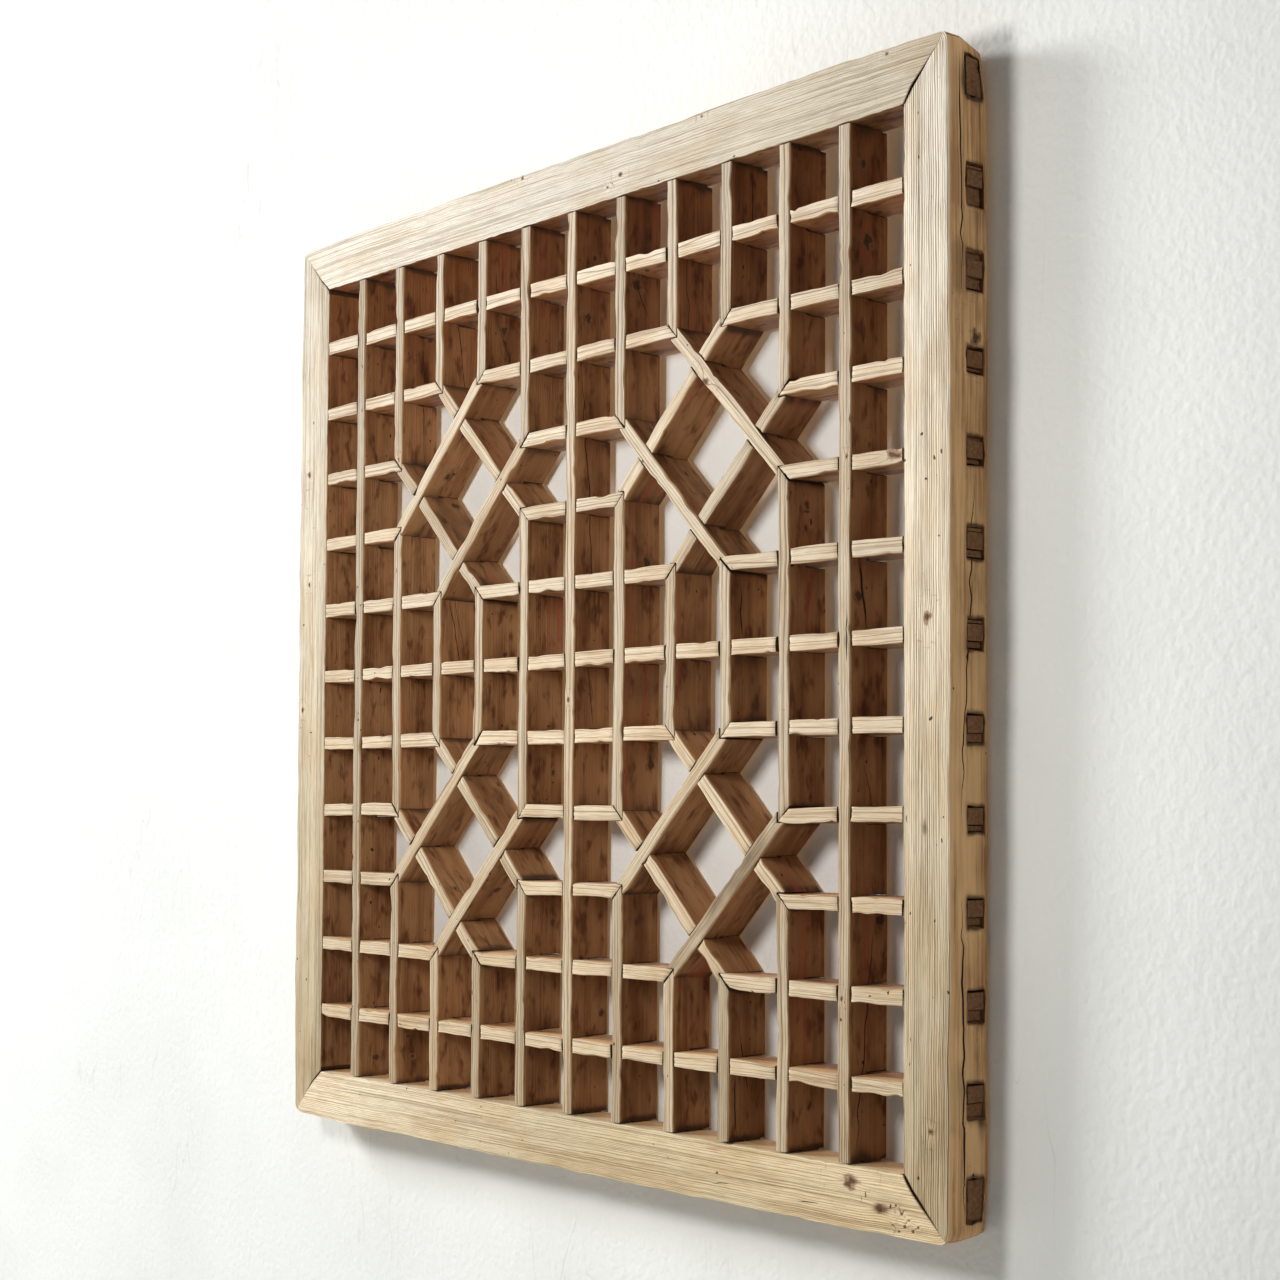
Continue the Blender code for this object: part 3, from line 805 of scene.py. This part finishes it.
def wedges():
    """Small wedges above and below each crossbar's tenon, driven in from the outer sides of the stiles."""
    for row, reaches in enumerate(MORTISE_REACH, 1):
        z = CENTRE_Z + (CELLS / 2 - row) * PITCH
        for side, turn in (("left", 180), ("right", 0)):
            for place, reach in zip(("above", "below"), reaches):
                height = reach * MM - HALF_BAR - WEDGE_PLAY
                way = 1 if (place == "above") == (turn == 0) else -1
                if height > LEAST_WEDGE:
                    wedge(f"wedge_{side}_{row}_{place}", z, turn, way, height)


def wedge(name, z, turn, way, height):
    rng = seeded(name)
    tip = HALF_OUTSIDE - rng.uniform(0.0006, 0.003)
    s_lines = spaced([tip - WEDGE_LENGTH, tip], 0.006)
    y_lines = spaced([TENON_FRONT + FIT, TENON_BACK - FIT], 0.004)
    w_lines = spaced([0, height], 0.002)
    solid = np.ones((len(s_lines) - 1, len(y_lines) - 1, len(w_lines) - 1), bool)
    wood = Timber(name, s_lines, y_lines, w_lines, solid)
    wood.base_w = wood.w + np.arange(len(wood.w))
    wood.keep_grain()
    at_tip = wood.s > tip - SAME
    wood.end_grain[at_tip] = 1
    wood.lightness += rng.normal(0.05, 0.1)
    wood.s -= abs(patches(rng, wood.y, wood.w, 0.004, 0.003)) * 0.0008 * at_tip
    wood.w = way * (HALF_BAR + 0.0008 + wood.w * (1 - 0.9 * (tip - wood.s) / WEDGE_LENGTH))
    if way < 0:
        wood.quads = wood.quads[:, ::-1]
    wood.object(BAR_WOOD, (0, 0, z), turn, "bar_wood")


# Materials


class Nodes:
    """Short calls that add shader nodes and link them."""

    def __init__(self, material):
        material.use_nodes = True
        self.tree = material.node_tree
        self.shader = self.tree.nodes["Principled BSDF"]

    def add(self, kind, inputs=None, **settings):
        node = self.tree.nodes.new("ShaderNode" + kind)
        for name, value in settings.items():
            setattr(node, name, value)
        for name, value in (inputs or {}).items():
            self.feed(node.inputs[name], value)
        return node

    def feed(self, socket, value):
        if isinstance(value, bpy.types.NodeSocket):
            self.tree.links.new(value, socket)
        else:
            socket.default_value = (*value, 1) if socket.type == "RGBA" else value

    def attribute(self, name, output="Vector"):
        return self.add("Attribute", attribute_name=name).outputs[output]

    def math(self, operation, a, b=0.0, c=0.0):
        return self.add("Math", {0: a, 1: b, 2: c}, operation=operation).outputs[0]

    def parts(self, vector):
        return self.add("SeparateXYZ", {0: vector}).outputs

    def vary(self, value, noise, size):
        """The value made uneven by a noise."""
        return self.math("MULTIPLY_ADD", self.math("SUBTRACT", noise, 0.5), size, value)

    def surface(self, base, roughness, specular, strength, distance, height):
        """The whole of a dull surface, with a fine relief of the given strength and depth."""
        relief = self.add("Bump", {"Strength": strength, "Distance": distance, "Height": height}).outputs[0]
        inputs = {"Base Color": base, "Roughness": roughness, "Specular IOR Level": specular, "Normal": relief}
        for name, value in inputs.items():
            self.feed(self.shader.inputs[name], value)

    def noise(self, vector, scales, detail=3.0, roughness=0.55):
        vector = self.add("VectorMath", {0: vector, 1: scales}, operation="MULTIPLY").outputs[0]
        inputs = {"Vector": vector, "Scale": 1.0, "Detail": detail, "Roughness": roughness}
        return self.add("TexNoise", inputs).outputs["Fac"]

    def span(self, value, low, high, to_low=0.0, to_high=1.0):
        """The value's place between low and high, eased and kept inside."""
        inputs = {"Value": value, "From Min": low, "From Max": high, "To Min": to_low, "To Max": to_high}
        return self.add("MapRange", inputs, interpolation_type="SMOOTHSTEP").outputs[0]

    def mix(self, share, a, b, blend="MIX"):
        node = self.add("Mix", data_type="RGBA", blend_type=blend)
        self.feed(node.inputs[0], share)
        self.feed(node.inputs[6], a)
        self.feed(node.inputs[7], b)
        return node.outputs[2]


SIDE_DARK = (0.2, 0.08, 0.027)
SIDE_LIGHT = (0.43, 0.225, 0.098)
TAN = (0.68, 0.425, 0.205)
FRONT_PALE = (0.76, 0.69, 0.56)
FRONT_STRAW = (0.71, 0.605, 0.455)
FRONT_GREY = (0.36, 0.29, 0.21)
LATE_WOOD = (0.86, 0.74, 0.58)
GROOVE = (0.36, 0.26, 0.18)
TOP_TINT = (1.00, 1.03, 1.1)
FRAME_FOOT = (0.95, 0.86, 0.68)
BAR_FOOT = (0.96, 0.91, 0.81)
TOP_SHADE = (0.72, 0.54, 0.4)
DARKER = (0.72, 0.72, 0.72)
LIGHTER = (1.25, 1.25, 1.25)
KNOT_DARK = (0.07, 0.03, 0.014)
KNOT_RINGS = ((0.16, 0.075, 0.034), (0.3, 0.17, 0.085))
END_GRAIN = (0.23, 0.13, 0.066)
RED_PAINT = (0.36, 0.09, 0.045)
# The grime colour, which near the bars' crossings and ends is also painted shade.
DIRT_AND_SHADE = (0.06, 0.03, 0.014)
CRACK = (0.016, 0.009, 0.005)
MOST_CRACKS = 5


def wood_material(name, ring_lines, tint, foot):
    """Weathered softwood. It reads each piece's grain, rings, wear, stains, painted light and painted shade, knots
    and cracks from the mesh.
    """
    material = bpy.data.materials.new(name)
    n = Nodes(material)
    grain = n.attribute("grain")
    ring = n.attribute("ring", "Fac")
    lightness, grime, redness = n.parts(n.attribute("tone"))
    hairs = n.noise(grain, (9, 420, 420), 3, 0.62)
    streaks = n.noise(grain, (5, 130, 130), 2)
    clouds = n.noise(grain, (14, 38, 38), 3)

    wobble = n.math("MULTIPLY_ADD", hairs, 0.25, ring)
    phase = n.math("FRACT", wobble)
    late = n.span(phase, 0.35, 0.85)
    groove = n.math("SUBTRACT", n.span(phase, 0.8, 0.92), n.span(phase, 0.94, 1.0))

    blend = n.math("MULTIPLY_ADD", streaks, 0.5, n.math("MULTIPLY_ADD", hairs, 0.35, clouds))
    side = n.mix(n.span(blend, 0.62, 1.1), SIDE_DARK, SIDE_LIGHT)
    side = n.mix(n.math("MULTIPLY", groove, 0.3 * ring_lines), side, SIDE_DARK)
    smudges = n.noise(grain, (45, 110, 110), 2, 0.65)
    side = n.mix(n.span(smudges, 0.5, 0.72, 0.0, 0.7), side, SIDE_DARK, "MULTIPLY")

    front = n.mix(n.span(clouds, 0.42, 0.62), FRONT_PALE, FRONT_STRAW)
    front = n.mix(n.math("MULTIPLY", late, 0.14), front, LATE_WOOD, "MULTIPLY")
    # Dark lines in the front's ring grooves: partly dirt, partly painted shade in the grooves.
    front = n.mix(n.math("MULTIPLY", groove, 0.8 * ring_lines), front, GROOVE, "MULTIPLY")
    front = n.mix(n.span(hairs, 0.58, 0.74, 0.0, 0.17), front, FRONT_GREY)
    threads = n.noise(grain, (6, 720, 720), 1)
    front = n.mix(n.span(threads, 0.38, 0.47, 0.42, 0.0), front, GROOVE, "MULTIPLY")
    grit = n.noise(grain, (60, 1050, 1050), 1, 0.7)
    front = n.mix(n.span(grit, 0.34, 0.58, 0.22, 0.0), front, GROOVE, "MULTIPLY")
    # The front's tint runs from the top tint to the foot tint down the panel; on the rails it also carries painted
    # light, paler at the left.
    age = n.attribute("age", "Fac")
    front = n.mix(1.0, front, n.mix(age, TOP_TINT, foot), "MULTIPLY")
    front = n.mix(1.0, front, tint, "MULTIPLY")
    side = n.mix(1.0, side, n.mix(n.span(age, 0.0, 0.35), TOP_SHADE, (1, 1, 1)), "MULTIPLY")

    worn = n.vary(n.attribute("bleach", "Fac"), hairs, 0.55)
    wood = n.mix(n.span(worn, 0.05, 0.4), side, n.mix(n.span(blend, 0.55, 1.05), SIDE_LIGHT, TAN))
    wood = n.mix(n.span(worn, 0.42, 0.8), wood, front)
    wood = n.mix(1.0, wood, n.mix(n.span(lightness, -0.25, 0.25), DARKER, LIGHTER), "MULTIPLY")

    # Grime darkens towards the dark colour; near the bars' crossings and ends this is partly painted shade.
    ragged = n.vary(grime, clouds, 1.6)
    wood = n.mix(n.span(ragged, 0.15, 1.1, 0.0, 0.93), wood, DIRT_AND_SHADE)
    reds = n.math("MULTIPLY", n.span(streaks, 0.45, 0.62), n.span(redness, 0.05, 0.8, 0.0, 0.75))
    wood = n.mix(reds, wood, RED_PAINT)
    wood = n.mix(n.attribute("end_grain", "Fac"), wood, n.mix(n.span(hairs, 0.35, 0.65), END_GRAIN, SIDE_DARK))

    spots = n.noise(grain, (210, 260, 260), 0)
    wood = add_knots(n, wood, spots)
    wood = add_cracks(n, wood, hairs)
    wood = n.mix(n.span(spots, 0.845, 0.87, 0.0, 0.9), wood, CRACK)

    n.surface(wood, n.span(hairs, 0.3, 0.7, 0.72, 0.9), 0.25, 0.8, 0.0004, n.math("ADD", grit, threads))
    return material


def add_knots(n, wood, spots):
    """A knot is a dark eye with fine rings and a brown rim. The mesh gives the place in knot radii."""
    along, beside, there = n.parts(n.attribute("knot"))
    distance = n.math("SQRT", n.math("ADD", n.math("POWER", along, 2.0), n.math("POWER", beside, 2.0)))
    distance = n.vary(distance, spots, 1.5)
    eye = n.math("MULTIPLY", n.span(distance, 0.75, 0.45), there)
    rim = n.math("MULTIPLY", n.span(distance, 1.25, 0.85), there)
    rings = n.math("MULTIPLY_ADD", n.math("SINE", n.math("MULTIPLY", distance, 21.0)), 0.5, 0.5)
    wood = n.mix(n.math("MULTIPLY", rim, 0.75), wood, n.mix(rings, *KNOT_RINGS))
    return n.mix(n.math("MULTIPLY", eye, 0.85), wood, KNOT_DARK)


def add_cracks(n, wood, hairs):
    """A crack is dark within its width. The mesh gives the distance from its line and its half width, in mm."""
    dark = 0.0
    for number in range(MOST_CRACKS):
        distance, width, _ = n.parts(n.attribute(f"crack_{number}"))
        uneven = n.vary(distance, hairs, 1.1)
        inside = n.math("SUBTRACT", width, n.math("ABSOLUTE", uneven))
        dark = n.math("MAXIMUM", dark, n.math("MULTIPLY", n.span(inside, -0.12, 0.14), n.span(width, 0.02, 0.1)))
    return n.mix(dark, wood, CRACK)


# The pieces

FRAME_WOOD = wood_material("frame_wood", 1.0, (1.02, 1.02, 1.02), FRAME_FOOT)
BAR_WOOD = wood_material("bar_wood", 0.9, (0.735, 0.685, 0.63), BAR_FOOT)
DIAGONAL_WOOD = wood_material("diagonal_wood", 0.9, (0.75, 0.7, 0.64), BAR_FOOT)

# The one diamond whose falling diagonals lie in front
FALLING_IN_FRONT = "diamond_upper_right"
DIAMONDS = {node: tuple((low + high) / 2 for low, high in zip(*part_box(node)))
            for node in ("diamond_upper_left", "diamond_upper_right", "diamond_lower_left", "diamond_lower_right")}


def nearest_diamond(x, z):
    return min(DIAMONDS.values(), key=lambda centre: math.hypot(centre[0] - x, centre[2] - z))


def grid_bar(name, line, is_crossbar, low, high, replaced):
    """A bar of the grid, between two places along it. An end past the opening is a tenon, any other a mitre."""
    offset = (line - CELLS / 2) * PITCH
    ends, body = [], []
    for at, way in ((low, -1), (high, 1)):
        if abs(at) > HALF_OPENING:
            ends.append("tenon")
            body.append(way * (HALF_OPENING - SHOULDER_GAP))
            continue
        x, z = (at, CENTRE_Z - offset) if is_crossbar else (offset, CENTRE_Z - at)
        centre = nearest_diamond(x, z)
        beyond = (z - centre[2]) if is_crossbar else (x - centre[0])
        ends.append(1 if beyond > 0 else -1)
        body.append(at - way * HALF_BAR)
    crossings = [at for at in LINES if low + HALF_BAR * 2 < at < high - HALF_BAR * 2]
    wood = bar_timber(name, body, ends, crossings, is_crossbar)
    finish_bar(wood, crossings, is_crossbar, ends)
    location = (0, 0, CENTRE_Z - offset) if is_crossbar else (offset, 0, CENTRE_Z)
    obj = wood.object(BAR_WOOD, location, 0 if is_crossbar else 90, "bar_wood")
    if replaced:
        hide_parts(*replaced)


def grid_bars():
    for node in sorted(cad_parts):
        kind, _, rest = node.partition("_")
        if kind not in ("upright", "crossbar"):
            continue
        low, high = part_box(node)
        line = int(rest.split("_")[0])
        if kind == "crossbar":
            grid_bar(node, line, True, low.x, high.x, [node])
        else:
            grid_bar(node, line, False, CENTRE_Z - high.z, CENTRE_Z - low.z, [node])


def ring_bars():
    """The centre ring's four bars, each a piece of its own."""
    low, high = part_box("centre_ring")
    for x in (low.x + HALF_BAR, high.x - HALF_BAR):
        line = CELLS // 2 + round(x / PITCH)
        grid_bar(f"upright_{line}_middle", line, False, CENTRE_Z - high.z, CENTRE_Z - low.z, ["centre_ring"])
    for z in (high.z - HALF_BAR, low.z + HALF_BAR):
        line = CELLS // 2 + round((CENTRE_Z - z) / PITCH)
        grid_bar(f"crossbar_{line}_middle", line, True, low.x, high.x, [])


def diagonals():
    """Four crossed diagonals in each diamond. Two run through in front, and two lie behind."""
    apart = PITCH / math.sqrt(2)
    notch = 2 * apart - math.sqrt(2) * (HALF_BAR + FIT)
    for node, (x, _, z) in DIAMONDS.items():
        for rises in (True, False):
            turn = -45 if rises else 45
            lies_behind = rises == (node == FALLING_IN_FRONT)
            for number, way in enumerate((1, -1)):
                name = f"{node.replace('diamond', 'diagonal')}_{'rising' if rises else 'falling'}_{number + 1}"
                wood = bar_timber(name, [-notch, notch], ["mouth", "mouth"], [-apart, apart], lies_behind)
                finish_bar(wood, [-apart, apart], lies_behind, ["mouth", "mouth"])
                across = Vector((-1 if rises else 1, 0, 1)) / math.sqrt(2) * apart * way
                obj = wood.object(DIAGONAL_WOOD, Vector((x, 0, z)) + across, turn, "diagonal_wood")
                if rises and way == 1:
                    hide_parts(node)


def frame_members():
    for name, turn, location in (
        ("top_rail", 0, (0, 0, CENTRE_Z + HALF_OPENING)),
        ("bottom_rail", 180, (0, 0, CENTRE_Z - HALF_OPENING)),
        ("left_stile", -90, (-HALF_OPENING, 0, CENTRE_Z)),
        ("right_stile", 90, (HALF_OPENING, 0, CENTRE_Z)),
    ):
        is_rail = name.endswith("rail")
        wood = frame_timber(name, is_rail)
        finish_member(wood, is_rail, 1 if turn > 0 else -1)
        obj = wood.object(FRAME_WOOD, location, turn, "frame_wood")
        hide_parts(name)


# Stage, lights and camera


def plane(name, corners, material):
    mesh = bpy.data.meshes.new(name)
    mesh.from_pydata(corners, [], [(0, 1, 2, 3)])
    mesh.materials.append(material)
    obj = add_object(name, mesh)


def plaster(name, shade):
    """Pale plaster, seen from its front only, so that a view from behind sees past it."""
    material = bpy.data.materials.new(name)
    n = Nodes(material)
    place = n.add("NewGeometry").outputs["Position"]
    clouds = n.noise(place, (5, 5, 5), 2)
    veins = n.noise(place, (11, 11, 2.6), 3, 0.6)
    from_vein = n.math("ABSOLUTE", n.math("SUBTRACT", veins, 0.5))
    cracks = n.math("MULTIPLY", n.span(from_vein, 0.004, 0.0), n.span(clouds, 0.5, 0.62))
    mottle = n.mix(n.span(clouds, 0.3, 0.7), shade, [0.95 * part for part in shade])
    base = n.mix(n.math("MULTIPLY", cracks, 0.24), mottle, (0.45, 0.44, 0.42))
    n.surface(base, 0.95, 0.1, 0.35, 0.002, n.noise(place, (150, 150, 150), 1))
    output = n.tree.nodes["Material Output"]
    clear = n.add("BsdfTransparent")
    behind = n.add("NewGeometry").outputs["Backfacing"]
    sides = n.add("MixShader", {0: behind, 1: n.shader.outputs[0], 2: clear.outputs[0]})
    n.feed(output.inputs[0], sides.outputs[0])
    return material


def stage():
    """The wall leans back a little from the panel's top, as it hangs from a nail."""
    shade = plaster("pale_plaster", (0.815, 0.82, 0.795))
    size, low, lean = 6.0, CENTRE_Z - 1.2, 0.009
    back = [0.0008 + lean * (z - CENTRE_Z + HALF_OUTSIDE) for z in (low, size)]
    plane("wall", [(-size, back[0], low), (size, back[0], low), (size, back[1], size), (-size, back[1], size)], shade)
    plane("floor", [(-size, -size, low), (size, -size, low), (size, back[0], low), (-size, back[0], low)], shade)


def area_light(name, location, target, size, power, tint):
    light = bpy.data.lights.new(name, "AREA")
    light.shape = "DISK"
    light.size = size
    light.energy = power
    light.color = tint
    obj = add_object(name, light, location)
    obj.rotation_euler = (Vector(target) - Vector(location)).to_track_quat("-Z", "Y").to_euler()
    return obj


def lights():
    middle = (0, 0, CENTRE_Z)
    area_light("near", (0.06, -0.86, CENTRE_Z + 0.21), middle, 0.27, 5.5, (1.0, 0.98, 0.95))
    area_light("window", (-2.8, -1.5, CENTRE_Z + 1.2), middle, 1.1, 115, (0.97, 0.99, 1.0))
    back_fill = area_light("back_fill", (-2.6, 2.4, CENTRE_Z), middle, 1.6, 32, (1, 1, 1))
    let_through = bpy.data.collections.new("lets_back_fill_through")
    let_through.objects.link(bpy.data.objects["wall"])
    let_through.collection_objects[0].light_linking.link_state = "EXCLUDE"
    back_fill.light_linking.blocker_collection = let_through
    world = bpy.data.worlds.new("room")
    world.use_nodes = True
    tint, strength = world.node_tree.nodes["Background"].inputs[:2]
    tint.default_value, strength.default_value = (1.0, 0.99, 0.97, 1), 0.19
    bpy.context.scene.world = world


def camera():
    """The photograph's view, from the right at the panel's mid height, with the lens shifted down a little."""
    place = Vector((1.2998, -1.0713, CENTRE_Z - 0.109))
    yaw, pitch, roll = math.radians(49.592), math.radians(2.38), math.radians(0.289)
    forward = Vector((-math.sin(yaw) * math.cos(pitch), math.cos(yaw) * math.cos(pitch), math.sin(pitch)))
    level = Vector((math.cos(yaw), math.sin(yaw), 0))
    right = Matrix.Rotation(roll, 3, -forward) @ level
    above = right.cross(forward)
    data = bpy.data.cameras.new("camera")
    data.sensor_width = 36
    data.lens = 61.761
    data.shift_y = 0.0564
    obj = add_object("camera", data)
    obj.matrix_world = Matrix.Translation(place) @ Matrix((right, above, -forward)).transposed().to_4x4()
    bpy.context.scene.camera = obj


camera()
stage()
lights()
frame_members()
wedges()
grid_bars()
ring_bars()
diagonals()

bpy.context.scene.view_settings.view_transform = "Standard"
